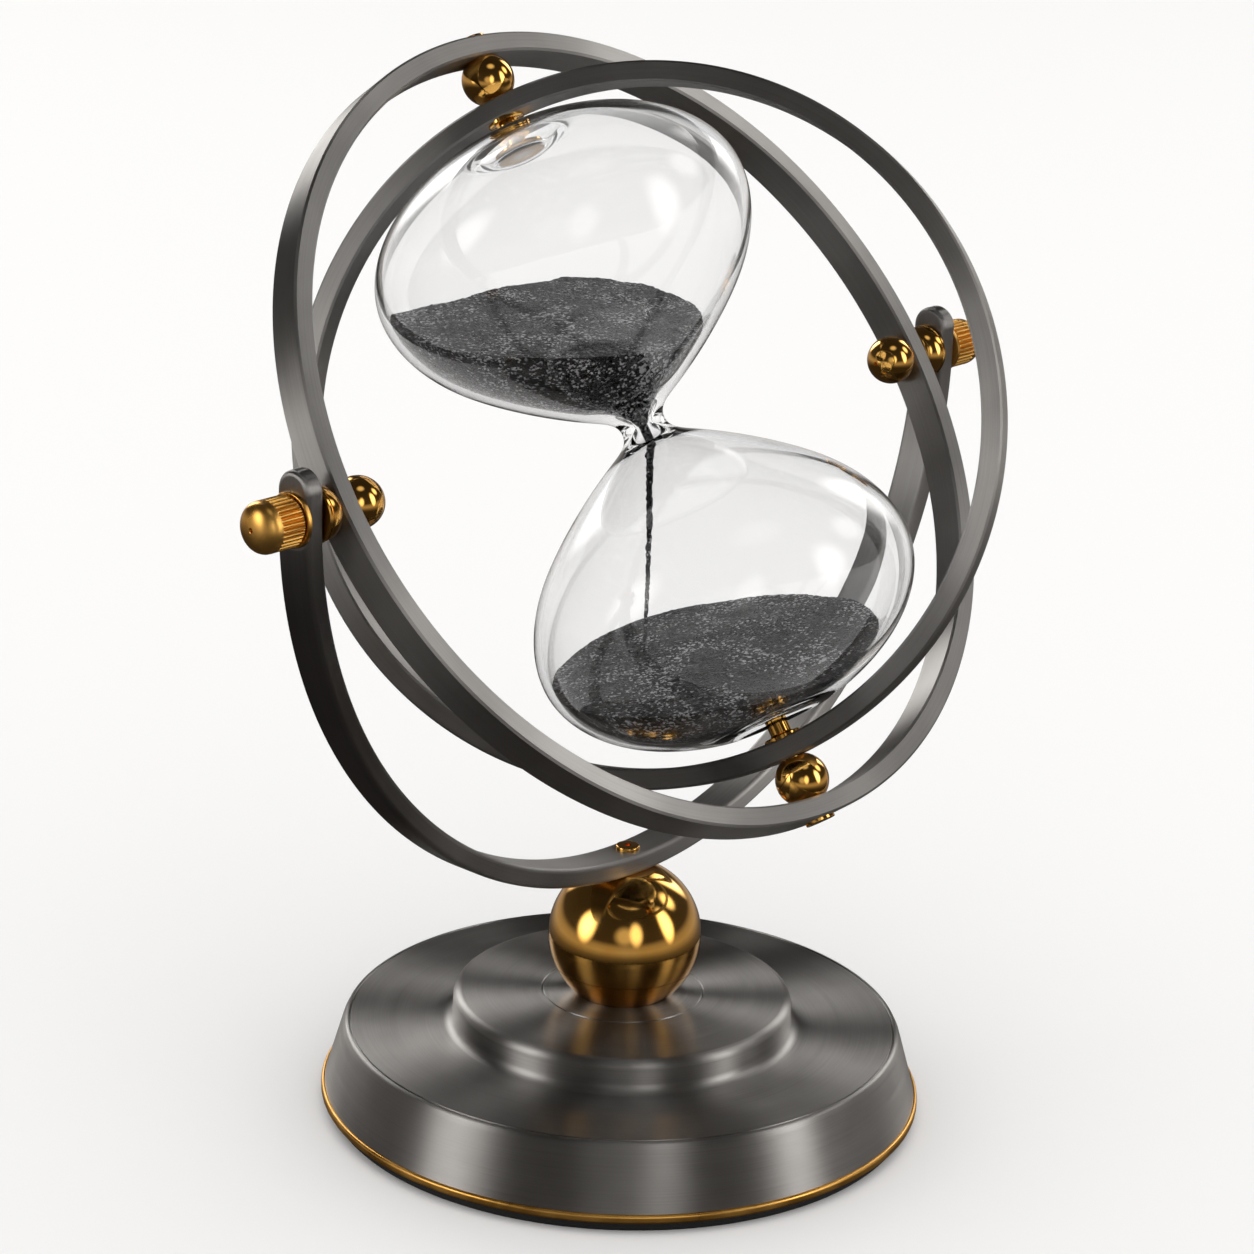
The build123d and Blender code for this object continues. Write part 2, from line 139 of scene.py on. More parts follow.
def apply_modifier(piece, kind, **settings):
    pick_only(piece)
    modifier = piece.modifiers.new(kind.title(), kind)
    for name, value in settings.items():
        setattr(modifier, name, value)
    bpy.ops.object.modifier_apply(modifier=modifier.name)


def drill(piece, radius, low, high, *places):
    """Bores a piece out along the Z axis of each place, from one height to another."""
    for place in places:
        bit = put(turn([(radius, low), (radius, high)], BIT_FACETS), place)
        apply_modifier(piece, "BOOLEAN", operation="DIFFERENCE", object=bit, solver="EXACT")
        bpy.data.objects.remove(bit)


def put(piece, place):
    """Moves a piece to its place, which ends up in its mesh."""
    pick_only(piece)
    piece.matrix_world = place
    bpy.ops.object.transform_apply(location=True, rotation=True, scale=True)
    return piece


def copy_of(piece):
    pick_only(piece)
    bpy.ops.object.duplicate()
    return bpy.context.object


def settle(piece, name, place, body, slot, finish, *nodes):
    """Puts a finished piece in place, gives it its finish and hands it to the frame."""
    put(piece, place)
    bpy.ops.object.shade_smooth_by_angle(angle=SMOOTH_BELOW)
    if slot not in SOFT_SHADED:
        apply_modifier(piece, "WEIGHTED_NORMAL", keep_sharp=True)
    piece.name = name
    piece.data.name = name
    piece.data.materials.clear()
    piece.data.materials.append(finish)
    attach(piece, body)
    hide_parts(*nodes)
    return piece


# ---------------------------------------------------------------- finishes
def linear(hex_colour):
    """An sRGB hex colour as the linear colour that a shader takes."""
    channels = [int(hex_colour[i : i + 2], 16) / 255 for i in (1, 3, 5)]
    return [c / 12.92 if c <= 0.04045 else ((c + 0.055) / 1.055) ** 2.4 for c in channels] + [1.0]


def node(tree, kind, inputs=(), stops=(), **settings):
    """Adds a node with its properties, its (position, hex colour) stops if it is a colour ramp,
    and its inputs either set or linked."""
    new = tree.nodes.new("ShaderNode" + kind)
    for name, value in settings.items():
        setattr(new, name, value)
    if stops:
        elements = new.color_ramp.elements
        while len(elements) < len(stops):
            elements.new(0.5)
        for element, (position, colour) in zip(elements, stops):
            element.position = position
            element.color = linear(colour)
    for socket, value in dict(inputs).items():
        if isinstance(value, bpy.types.NodeSocket):
            tree.links.new(value, new.inputs[socket])
        else:
            new.inputs[socket].default_value = value
    return new


def finish_named(name, **shader):
    """A new material with values on its shader's own sockets. Underscores stand for spaces."""
    made = bpy.data.materials.new(name)
    made.use_nodes = True
    for socket, value in shader.items():
        made.node_tree.nodes["Principled BSDF"].inputs[socket.replace("_", " ")].default_value = value
    return made, made.node_tree


def feed(tree, **patterns):
    """Links patterns to the shader's sockets, named as above."""
    for socket, output in patterns.items():
        tree.links.new(output, tree.nodes["Principled BSDF"].inputs[socket.replace("_", " ")])


def place_pattern(tree, place):
    """Object coordinates, in metres, turned and centred on a piece's own frame."""
    coordinates = node(tree, "TexCoord")
    location, rotation, _ = place.decompose()
    return node(
        tree,
        "Mapping",
        {"Vector": coordinates.outputs["Object"], "Location": location, "Rotation": rotation.to_euler()},
        vector_type="TEXTURE",
    ).outputs["Vector"]


def per(size):
    """The scale that gives a pattern features of a size in millimetres."""
    return 1 / (size * MM)


def brushed_in_circles(tree, place, streak_width, streak_length):
    """Grey value of hair lines that run round a piece's own axis, both sizes in millimetres."""
    here = place_pattern(tree, place)
    parts = node(tree, "SeparateXYZ", {"Vector": here})
    flat = node(tree, "CombineXYZ", {"X": parts.outputs["X"], "Y": parts.outputs["Y"]}).outputs["Vector"]
    radius = node(tree, "VectorMath", {0: flat}, operation="LENGTH").outputs["Value"]
    heading = node(tree, "VectorMath", {0: flat}, operation="NORMALIZE").outputs["Vector"]
    typical_radius = 100.0
    round_scale = typical_radius / streak_length
    spread = node(
        tree, "VectorMath", {0: heading, "Scale": round_scale}, operation="SCALE"
    ).outputs["Vector"]
    across = node(tree, "Math", {0: radius, 1: per(streak_width)}, operation="MULTIPLY").outputs["Value"]
    offset = node(tree, "CombineXYZ", {"Z": across}).outputs["Vector"]
    vector = node(tree, "VectorMath", {0: spread, 1: offset}, operation="ADD").outputs["Vector"]
    height = node(
        tree, "Math", {0: parts.outputs["Z"], 1: per(streak_width)}, operation="MULTIPLY"
    ).outputs["Value"]
    return node(
        tree,
        "TexNoise",
        {"Vector": vector, "W": height, "Scale": 1.0, "Detail": 3.0, "Roughness": 0.6},
        noise_dimensions="4D",
    ).outputs["Fac"]


def along_the_brushing(tree, place):
    """Direction of the hair lines: round the piece's own axis, at each point of it."""
    parts = node(tree, "SeparateXYZ", {"Vector": place_pattern(tree, place)})
    back_side = node(tree, "Math", {0: parts.outputs["Y"], 1: -1.0}, operation="MULTIPLY").outputs["Value"]
    round_about = node(tree, "CombineXYZ", {"X": back_side, "Y": parts.outputs["X"]}).outputs["Vector"]
    turned_back = node(
        tree, "Mapping", {"Vector": round_about, "Rotation": place.to_euler()}, vector_type="VECTOR"
    ).outputs["Vector"]
    return node(
        tree,
        "VectorTransform",
        {"Vector": turned_back},
        vector_type="VECTOR",
        convert_from="OBJECT",
        convert_to="WORLD",
    ).outputs["Vector"]


def gunmetal(name, place, streak_length=40.0):
    """Brushed steel blackened to gunmetal: warm dark grey, hair lines along the brushing that
    stretch each highlight across them, and a slightly uneven patina. Real lines are 0.1 mm wide;
    they are drawn 0.4 mm wide so that they show."""
    streak_width = 0.4
    patina_size = 30
    hair_depth = 0.25
    made, tree = finish_named(name, Metallic=1.0, Anisotropic=0.95, Anisotropic_Rotation=0.25)
    hair = brushed_in_circles(tree, place, streak_width, streak_length)
    patina = node(
        tree, "TexNoise", {"Vector": place_pattern(tree, place), "Scale": per(patina_size), "Detail": 2.0}
    ).outputs["Fac"]
    blend = node(tree, "Math", {0: hair, 1: 0.5, 2: patina}, operation="MULTIPLY_ADD").outputs["Value"]
    colour = node(tree, "ValToRGB", {"Fac": blend}, [(0.5, "#858381"), (1.0, "#A3A19F")]).outputs["Color"]
    rough = node(
        tree, "MapRange", {"Value": hair, "From Min": 0.3, "From Max": 0.7, "To Min": 0.36, "To Max": 0.44}
    ).outputs["Result"]
    bump = node(tree, "Bump", {"Height": hair, "Strength": 0.025, "Distance": hair_depth * MM})
    feed(tree, Base_Color=colour, Roughness=rough, Normal=bump.outputs["Normal"])
    feed(tree, Tangent=along_the_brushing(tree, place))
    return made


def brass(name, roughness, place=BASE, hair_bump=0.0):
    """Lacquered brass: deep golden metal. Polished, it mirrors with faint handling smudges, and
    satin, it has turning lines 0.3 mm apart that break the highlight up."""
    smudge_size = 9
    line_width, line_length, line_depth = 0.3, 12.0, 0.1
    sharpest, dullest = roughness * 0.75, roughness * 1.3
    made, tree = finish_named(name, Metallic=1.0)
    smudge = node(
        tree, "TexNoise", {"Vector": place_pattern(tree, place), "Scale": per(smudge_size), "Detail": 4.0}
    ).outputs["Fac"]
    colour = node(tree, "ValToRGB", {"Fac": smudge}, [(0.3, "#DAA24E"), (0.7, "#E6B25F")]).outputs["Color"]
    rough = node(
        tree,
        "MapRange",
        {"Value": smudge, "From Min": 0.3, "From Max": 0.7, "To Min": sharpest, "To Max": dullest},
    ).outputs["Result"]
    feed(tree, Base_Color=colour, Roughness=rough)
    if hair_bump:
        lines = brushed_in_circles(tree, place, line_width, line_length)
        bump = node(tree, "Bump", {"Height": lines, "Strength": hair_bump, "Distance": line_depth * MM})
        feed(tree, Normal=bump.outputs["Normal"])
    return made


def clear_borosilicate():
    """Blown borosilicate: colourless and fire-polished, with the faint waves of hand work."""
    wave_length, wave_depth = 22, 0.6
    made, tree = finish_named(
        "clear_borosilicate", Transmission_Weight=1.0, IOR=1.47, Roughness=0.0, Base_Color=linear("#FDFDFD")
    )
    waves = node(
        tree, "TexNoise", {"Vector": place_pattern(tree, INNER), "Scale": per(wave_length), "Detail": 1.0}
    ).outputs["Fac"]
    bump = node(tree, "Bump", {"Height": waves, "Strength": 0.15, "Distance": wave_depth * MM})
    feed(tree, Normal=bump.outputs["Normal"])
    return made


def clear_silicone():
    """Clear moulded silicone: slightly milky, soft sheen."""
    cloud_size = 2
    made, tree = finish_named(
        "clear_silicone", Transmission_Weight=0.85, IOR=1.41, Base_Color=linear("#EDEFEF")
    )
    cloud = node(
        tree, "TexNoise", {"Vector": place_pattern(tree, INNER), "Scale": per(cloud_size)}
    ).outputs["Fac"]
    rough = node(tree, "MapRange", {"Value": cloud, "To Min": 0.12, "To Max": 0.3}).outputs["Result"]
    feed(tree, Roughness=rough)
    return made


def black_glitter_sand():
    """Black slag sand: coal-black angular grains, some with a cleavage face that glints; those glints are
    painted, as bright grey base colour on a share of the grains.
    Grains are about 0.3 mm and are drawn twice as coarse so that they show."""
    grain, grain_depth = 0.62, 0.4
    wobble_size, wobble_reach = 2.5, 1.2
    drift_size = 14
    made, tree = finish_named("black_glitter_sand", IOR=1.5, Specular_IOR_Level=0.12)
    here = place_pattern(tree, BASE)
    wobble = node(
        tree, "TexNoise", {"Vector": here, "Scale": per(wobble_size), "Detail": 2.0}
    ).outputs["Color"]
    shifted = node(
        tree, "VectorMath", {0: wobble, 1: (wobble_reach * MM,) * 3, 2: here}, operation="MULTIPLY_ADD"
    ).outputs["Vector"]
    cells = node(tree, "TexVoronoi", {"Vector": shifted, "Scale": per(grain)})
    facets = node(tree, "SeparateColor", {"Color": cells.outputs["Color"]})
    drift = node(tree, "TexNoise", {"Vector": here, "Scale": per(drift_size), "Detail": 3.0}).outputs["Fac"]
    mostly_dark = node(
        tree, "Math", {0: facets.outputs["Red"], 1: 0.64}, operation="MULTIPLY"
    ).outputs["Value"]
    # Painted glints: the highest values get the bright grey stops of the ramp below, painted in place of
    # light off grain faces; the rest stays coal black.
    painted_glint = node(tree, "Math", {0: drift, 1: 0.66, 2: mostly_dark}, operation="MULTIPLY_ADD").outputs["Value"]
    colour = node(
        tree,
        "ValToRGB",
        {"Fac": painted_glint},
        [(0.35, "#020203"), (0.76, "#0B0B0C"), (0.86, "#29292B"), (0.94, "#B2B2B4")],
    ).outputs["Color"]
    rough = node(
        tree, "MapRange", {"Value": facets.outputs["Green"], "To Min": 0.25, "To Max": 0.7}
    ).outputs["Result"]
    bump = node(
        tree, "Bump", {"Height": cells.outputs["Distance"], "Strength": 0.7, "Distance": grain_depth * MM}
    )
    feed(tree, Base_Color=colour, Roughness=rough, Normal=bump.outputs["Normal"])
    return made


def grained(name, grain, grain_depth, strength, rough_from, rough_to, detail, **shader):
    """One colour of cast or moulded surface, with a grain of a size and depth in millimetres."""
    made, tree = finish_named(name, **shader)
    pits = node(
        tree, "TexNoise", {"Vector": place_pattern(tree, BASE), "Scale": per(grain), "Detail": detail}
    ).outputs["Fac"]
    rough = node(tree, "MapRange", {"Value": pits, "To Min": rough_from, "To Max": rough_to})
    bump = node(tree, "Bump", {"Height": pits, "Strength": strength, "Distance": grain_depth * MM})
    feed(tree, Roughness=rough.outputs["Result"], Normal=bump.outputs["Normal"])
    return made


def black_rubber():
    """Moulded nitrile rubber: matt black with a fine spark-eroded grain."""
    return grained(
        "moulded_black_rubber", 0.5, 0.1, 0.4, 0.5, 0.75, 2.0, Base_Color=linear("#101011"), IOR=1.52
    )


def cast_iron():
    """Sand-cast grey iron, as cast: dull, dark and pitted at about 1 mm."""
    return grained(
        "sand_cast_iron", 1.1, 0.5, 0.6, 0.55, 0.9, 5.0, Metallic=1.0, Base_Color=linear("#3A3836")
    )


def zinc_plate():
    """Bright zinc plating on a bolt: bluish silver with cloudy spangle."""
    spangle_size = 1.5
    made, tree = finish_named("bright_zinc_plate", Metallic=1.0)
    spangle = node(
        tree, "TexVoronoi", {"Vector": place_pattern(tree, BASE), "Scale": per(spangle_size)}
    ).outputs["Distance"]
    colour = node(tree, "ValToRGB", {"Fac": spangle}, [(0.0, "#AEB3B8"), (0.7, "#C6CACD")]).outputs["Color"]
    rough = node(tree, "MapRange", {"Value": spangle, "To Min": 0.22, "To Max": 0.38}).outputs["Result"]
    feed(tree, Base_Color=colour, Roughness=rough)
    return made


gunmetal_outer = gunmetal("brushed_gunmetal_outer_ring", OUTER @ RING_PLANE)
gunmetal_inner = gunmetal("brushed_gunmetal_inner_ring", INNER @ RING_PLANE)
gunmetal_yoke = gunmetal("brushed_gunmetal_yoke", GIMBAL @ RING_PLANE)
gunmetal_base = gunmetal("spun_gunmetal_base", BASE, 60.0)
mirror_brass = brass("polished_brass", 0.09)
satin_brass_left = brass("satin_brass_left", 0.33, GIMBAL @ TO_LEFT, 0.06)
satin_brass_right = brass("satin_brass_right", 0.33, GIMBAL @ TO_RIGHT, 0.06)
satin_brass_trim = brass("satin_brass_trim", 0.36, BASE, 0.03)
glass_finish = clear_borosilicate()
silicone_finish = clear_silicone()
sand_finish = black_glitter_sand()
rubber_finish = black_rubber()
iron_finish = cast_iron()
zinc_finish = zinc_plate()


# ---------------------------------------------------------------- rings
bar_depth = 5.8       # thickness of the flat bar of both rings and the yoke
stud_bore = 2.55
journal_bore = 2.05
spigot_bore = 3.65


def flat_bar_ring(node_name, place, chamfer=0.6):
    """A flat bar rolled to a ring, with chamfered corners. It is drawn flat and stands upright."""
    low, high = reach(node_name, place)
    radius = high.z
    half_width = high.y
    bore = radius - bar_depth
    outline = [
        (bore, -half_width + chamfer),
        (bore + chamfer, -half_width),
        (radius - chamfer, -half_width),
        (radius, -half_width + chamfer),
        (radius, half_width - chamfer),
        (radius - chamfer, half_width),
        (bore + chamfer, half_width),
        (bore, half_width - chamfer),
    ]
    return turn(outline, RING_FACETS, bored=True)


for ring_name, ring_place, ring_finish, bores in (
    (
        "outer_ring",
        OUTER,
        gunmetal_outer,
        [(stud_bore, TO_RIGHT), (stud_bore, TO_LEFT), (journal_bore, BASE), (journal_bore, UPSIDE_DOWN)],
    ),
    ("inner_ring", INNER, gunmetal_inner, [(spigot_bore, BASE), (spigot_bore, UPSIDE_DOWN)]),
):
    ring = put(flat_bar_ring(ring_name, ring_place), ring_place @ RING_PLANE)
    ring_radius = reach(ring_name, ring_place)[1].z
    for bore_radius, facing in bores:
        inside, outside = ring_radius - bar_depth - RUN_OUT, ring_radius + RUN_OUT
        drill(ring, bore_radius, inside, outside, ring_place @ facing)
    settle(ring, ring_name + "_bar", BASE, ring_name, "gunmetal_steel", ring_finish, ring_name)


# ---------------------------------------------------------------- base
shell_low, shell_high = reach("base_shell", BASE)
plinth_low, plinth_high = reach("base_plinth", BASE)
skirt_radius = shell_high.x
deck_height = shell_high.z
skirt_lean = 5.4
shell_wall = 2.5
deck_radius = skirt_radius - skirt_lean


def skirt_at(height):
    """Radius of the leaning skirt at a height."""
    return skirt_radius - skirt_lean * (height - shell_low.z) / (deck_height - shell_low.z)


edge_round = 1.2
edge_in = deck_radius - edge_round
skirt_top = deck_height - 2.2
groove_width = 0.6
groove_depth = 0.4
groove_slope = 0.15
bolt_bore = 4.1
deck_rings = (30, 56)      # rings that divide the wide deck, so that it shades evenly
shell = turn(
    [
        (bolt_bore, deck_height),
        (deck_rings[0], deck_height),
        (deck_rings[1], deck_height),
        (edge_in - groove_width - groove_slope, deck_height),
        (edge_in - groove_width, deck_height - groove_depth),
        (edge_in - groove_slope, deck_height - groove_depth),
        (edge_in, deck_height),
    ]
    + arc((edge_in, deck_height - edge_round), edge_round, 80, 15, 6)
    + [
        (skirt_at(skirt_top), skirt_top),
        (skirt_radius, shell_low.z),
        (skirt_radius - shell_wall, shell_low.z),
        (deck_radius - shell_wall, deck_height - shell_wall),
        (bolt_bore, deck_height - shell_wall),
    ],
    RING_FACETS,
    bored=True,
)
settle(shell, "base_skirt", BASE, "base", "gunmetal_base", gunmetal_base, "base_shell")

tier_radius = 48.8
tier_flare = plinth_high.x - tier_radius
shoulder = 2.6
tier_top = plinth_high.z
tier_ring = 34             # divides the top of the tier as deck_rings do the deck
ball_low, ball_high = reach("base_ball", BASE)
ball_radius = ball_high.x
ball_top_cut = 1.4         # height that the flat under the yoke takes off the ball
ball_centre_height = ball_high.z + ball_top_cut - ball_radius
seat_gap = 0.1
seat_radius = math.sqrt(ball_radius**2 - (tier_top - ball_centre_height) ** 2) + seat_gap
seat_floor = ball_low.z
turned_circle = ((0.7, 0), (0.9, 0.3), (1.3, 0.3), (1.5, 0))     # (out from the ball, depth)
plinth = turn(
    [(bolt_bore, seat_floor), (5.5, seat_floor + 0.15)]
    + [(seat_radius * 0.8, tier_top - 2.2), (seat_radius, tier_top)]
    + [(ball_radius + out, tier_top - depth) for out, depth in turned_circle]
    + [(tier_ring, tier_top)]
    + arc((tier_radius - shoulder, tier_top - shoulder), shoulder, 90, 0, 8)
    + arc((plinth_high.x, plinth_low.z + tier_flare), tier_flare, 180, 270, 8)
    + [(bolt_bore, plinth_low.z)],
    RING_FACETS,
    bored=True,
)
settle(plinth, "base_step", BASE, "base", "gunmetal_base", gunmetal_base, "base_plinth")

trim_low, trim_high = reach("base_trim_ring", BASE)
trim_edge = 0.8
trim_width = 8
trim_bore = trim_high.x - trim_width
trim_flat = trim_high.x - trim_edge
trim = turn(
    [(trim_bore, trim_low.z), (trim_flat, trim_low.z)]
    + arc((trim_flat, trim_low.z + trim_edge), trim_edge, -60, 0, 4)
    + arc((trim_flat, trim_high.z - trim_edge), trim_edge, 0, 90, 5)
    + [(trim_bore, trim_high.z)],
    RING_FACETS,
    bored=True,
)
settle(trim, "base_trim", BASE, "base", "satin_brass", satin_brass_trim, "base_trim_ring")

foot_high = reach("base_foot_pad", BASE)[1]
foot_bore = 14
foot_edge = 0.5
foot_step = foot_high.x - foot_edge      # the foot steps in between these two heights
foot_step_top, foot_step_bottom = 1.4, 1.1
foot = turn(
    [(foot_bore, foot_high.z), (foot_high.x, foot_high.z), (foot_high.x, foot_step_top)]
    + [(foot_step, foot_step_bottom), (foot_step, foot_edge), (foot_high.x - 2 * foot_edge, 0)]
    + [(foot_bore + foot_edge, 0), (foot_bore, foot_edge)],
    RING_FACETS,
    bored=True,
)
settle(foot, "base_foot", BASE, "base", "black_rubber", rubber_finish, "base_foot_pad")

ball_bottom = ball_low.z - ball_centre_height
ball_top = ball_high.z - ball_centre_height
thread_bore, thread_depth = 4.05, 14
base_ball = turn(
    [(thread_bore * 0.5, ball_bottom + thread_depth), (thread_bore, ball_bottom + thread_depth - 0.2)]
    + [(thread_bore, ball_bottom)]
    + arc(
        (0, 0),
        ball_radius,
        math.degrees(math.asin(ball_bottom / ball_radius)),
        math.degrees(math.asin(ball_top / ball_radius)),
        64,
    )
    + [(0.2, ball_top)],
    RING_FACETS // 2,
)
base_ball_place = Matrix.Translation((0, 0, ball_centre_height * MM))
settle(base_ball, "base_globe", base_ball_place, "base", "polished_brass", mirror_brass, "base_ball")


# ---------------------------------------------------------------- yoke
def bent_yoke(edge=1.5):
    """Flat bar with rounded edges, rolled to a half ring with straight arms that end in a half round.

    It is drawn flat, its arms along +Y, and it stands upright."""
    low, high = reach("yoke", GIMBAL)
    radius, half_width = high.x, high.y
    bore = radius - bar_depth
    rise = high.z - half_width
    outline = (
        [(bore, 0)]
        + arc((bore + edge, half_width - edge), edge, 180, 90, 5)
        + arc((radius - edge, half_width - edge), edge, 90, 0, 5)
        + [(radius, 0)]
        + arc((radius - edge, edge - half_width), edge, 0, -90, 5)
        + arc((bore + edge, edge - half_width), edge, -90, -180, 5)
    )
    piece = turn(outline, RING_FACETS, bored=True)
    start_editing()
    bpy.ops.mesh.bisect(plane_co=(0, 0, 0), plane_no=(0, 1, 0), clear_outer=True)
    bpy.ops.mesh.select_all(action="DESELECT")
    bpy.ops.mesh.select_non_manifold()
    bpy.ops.mesh.extrude_edges_move(TRANSFORM_OT_translate={"value": (0, rise * MM, 0)})
    bpy.ops.mesh.select_all(action="DESELECT")
    bpy.ops.object.mode_set(mode="OBJECT")
    for vertex in piece.data.vertices:
        vertex.select = vertex.co.y > (rise - ON_PLANE) * MM and vertex.co.z > -ON_PLANE * MM
    bpy.ops.object.mode_set(mode="EDIT")
    bpy.ops.mesh.spin(steps=20, angle=math.pi, center=(0, rise * MM, 0), axis=(1, 0, 0))
    bpy.ops.mesh.select_all(action="SELECT")
    bpy.ops.mesh.remove_doubles(threshold=ON_PLANE / 2 * MM)
    bpy.ops.mesh.normals_make_consistent(inside=False)
    bpy.ops.object.mode_set(mode="OBJECT")
    return put(piece, GIMBAL @ RING_PLANE)


yoke_bar = bent_yoke()
yoke_out = reach("yoke", GIMBAL)[1].x + RUN_OUT
yoke_in = yoke_out - bar_depth - 2 * RUN_OUT
sides = (GIMBAL @ TO_RIGHT, GIMBAL @ TO_LEFT)
spot_face_radius = 8       # the flats that the knobs' washers lie on
ball_flat_radius = 16      # the flat that lies on the ball
drill(yoke_bar, spot_face_radius, reach("knob_washer_right", sides[0])[0].z, yoke_out, *sides)
drill(yoke_bar, reach("yoke_bush_right", sides[0])[1].x, yoke_in, yoke_out, *sides)
drill(yoke_bar, ball_flat_radius, -yoke_out, reach("base_ball", GIMBAL)[1].z, GIMBAL)
settle(yoke_bar, "yoke_bar", BASE, "base", "gunmetal_steel", gunmetal_yoke, "yoke")

polished_edge = 0.35       # rounding of small turned edges


def screw(tip, head_top, head_radius, head_height, socket_floor):
    """A screw with a flat head, a small round socket and a bevelled shank end."""
    head_bottom = head_top - head_height
    socket_radius, shank_radius, end_bevel = 0.8, 2, 0.5
    return turn(
        [(0.3, head_bottom + socket_floor), (socket_radius, head_bottom + socket_floor)]
        + [(socket_radius, head_top)]
        + arc((head_radius - polished_edge, head_top - polished_edge), polished_edge, 90, 0, 4)
        + [(head_radius, head_bottom), (shank_radius, head_bottom), (shank_radius, tip + end_bevel)]
        + [(shank_radius - end_bevel, tip)],
    )


screw_low, screw_high = reach("yoke_screw", GIMBAL)
yoke_screw = screw(screw_low.z, screw_high.z, screw_high.x, 1.4, 0.4)
settle(yoke_screw, "yoke_bottom_screw", GIMBAL, "base", "polished_brass", mirror_brass, "yoke_screw")


# ---------------------------------------------------------------- yoke pivots, drawn about Z and copied
def both_sides(piece, name, body, slot, finishes, *node_starts):
    """Copies a piece drawn about +Z to the right and the left pivot."""
    for side, turned_to, finish in (("left", TO_LEFT, finishes[0]), ("right", TO_RIGHT, finishes[1])):
        nodes = [f"{start}_{side}" for start in node_starts]
        rides_on = f"{body}_{side}" if body == "knob" else body
        settle(copy_of(piece), f"{name}_{side}", GIMBAL @ turned_to, rides_on, slot, finish, *nodes)
    bpy.data.objects.remove(piece)


def span(node_name, place):
    """Lowest and highest place of a node along its own axis, and its radius."""
    low, high = reach(node_name, place)
    return low.z, high.z, max(high.x, high.y)


right = GIMBAL @ TO_RIGHT
satin_pair = (satin_brass_left, satin_brass_right)
mirror_pair = (mirror_brass, mirror_brass)

washer_bottom, washer_top, washer_radius = span("knob_washer_right", right)
washer = turn(
    [(stud_bore, washer_bottom), (washer_radius, washer_bottom)]
    + arc((washer_radius - polished_edge, washer_top - polished_edge), polished_edge, 0, 90, 4)
    + [(stud_bore, washer_top)],
    bored=True,
)
both_sides(washer, "washer", "base", "satin_brass", satin_pair, "knob_washer")

nut_tip, nut_face, nut_radius = span("ball_nut_right", right)
nut_centre = nut_tip + nut_radius
nut_rim = math.degrees(math.asin((nut_face - nut_centre) / nut_radius))
nut_hole = 6.5
centre_mark = ((0.25, 1.2), (0.55, 1.1))      # (radius, depth) of the lathe's mark in a turned end
hole_end = 1.5                                # radius at which a blind hole stops
nut = turn(
    [(radius, nut_tip + depth) for radius, depth in centre_mark]
    + arc((0, nut_centre), nut_radius, -85, nut_rim, 36)
    + [(stud_bore, nut_face), (stud_bore, nut_face - nut_hole), (hole_end, nut_face - nut_hole - 0.5)],
)
both_sides(nut, "ball_end", "outer_ring", "polished_brass", mirror_pair, "ball_nut")

dome_bottom, dome_top, dome_radius = span("dome_spacer_right", right)
dome_rim = dome_top - 1.3
dome_neck = 4.2
neck_height = 0.4
rim_edge = 0.3
rim_groove = ((0.25, 0.15), (0.25, 0.35), (0, 0.5))      # (depth, up from the dome's rim)
dome = turn(
    [(stud_bore, dome_bottom), (dome_neck, dome_bottom), (dome_neck + 0.1, dome_bottom + neck_height)]
    + [
        (
            dome_neck + (dome_radius - dome_neck) * math.sin(math.radians(t)),
            dome_rim - (dome_rim - dome_bottom - neck_height) * math.cos(math.radians(t)),
        )
        for t in range(10, 91, 10)
    ]
    + [(dome_radius - depth, dome_rim + up) for depth, up in rim_groove]
    + [(dome_radius, dome_top - rim_edge), (dome_radius - rim_edge, dome_top), (stud_bore, dome_top)],
    bored=True,
)
both_sides(dome, "domed_collar", "outer_ring", "polished_brass", mirror_pair, "dome_spacer")

knob_face, knob_tip, knob_radius = span("knob_right", right)
grip_top = knob_face + 8.2
knob_crown = knob_tip - grip_top
knob_hole = 7.2
flutes = 30
sides_per_flute = 8
flute_depths = (0.8, 0.62, 0.18)      # at a flute's middle, and one and two sides off it
knob = turn(
    [(radius, knob_tip - depth) for radius, depth in centre_mark]
    + [(0.55, knob_tip - 0.12), (0.75, knob_tip)]
    + [
        (
            knob_radius * math.cos(math.radians(t)) ** 0.8,
            grip_top + knob_crown * math.sin(math.radians(t)) ** 0.9,
        )
        for t in range(80, 0, -8)
    ]
    + [(knob_radius, grip_top), (knob_radius, grip_top - 0.5), (knob_radius, grip_top - 1.1)]
    + [(knob_radius, knob_face + 0.7), (knob_radius - 0.1, knob_face + 0.35), (knob_radius - 0.5, knob_face)]
    + [(stud_bore, knob_face), (stud_bore, knob_face + knob_hole), (hole_end, knob_face + 7.35)],
    flutes * sides_per_flute,
)
pitch = 2 * math.pi / flutes
for sides_off, depth in enumerate(flute_depths):
    pick_only(knob)
    start_editing("DESELECT")
    bpy.ops.object.mode_set(mode="OBJECT")
    for vertex in knob.data.vertices:
        reach_out = math.hypot(vertex.co.x, vertex.co.y) / MM
        in_grip = knob_face - ON_PLANE < vertex.co.z / MM < grip_top - 1.0 and reach_out > knob_radius - 0.2
        steps_off = (math.atan2(vertex.co.y, vertex.co.x) / pitch * sides_per_flute) % sides_per_flute
        steps_off = min(steps_off, sides_per_flute - steps_off)
        vertex.select = in_grip and abs(steps_off - sides_off) < 0.3
    bpy.ops.object.mode_set(mode="EDIT")
    pulled_in = (knob_radius - depth) / knob_radius
    bpy.ops.transform.resize(value=(pulled_in, pulled_in, 1), center_override=(0, 0, 0))
    bpy.ops.object.mode_set(mode="OBJECT")
both_sides(knob, "fluted_knob", "knob", "satin_brass", satin_pair, "knob")


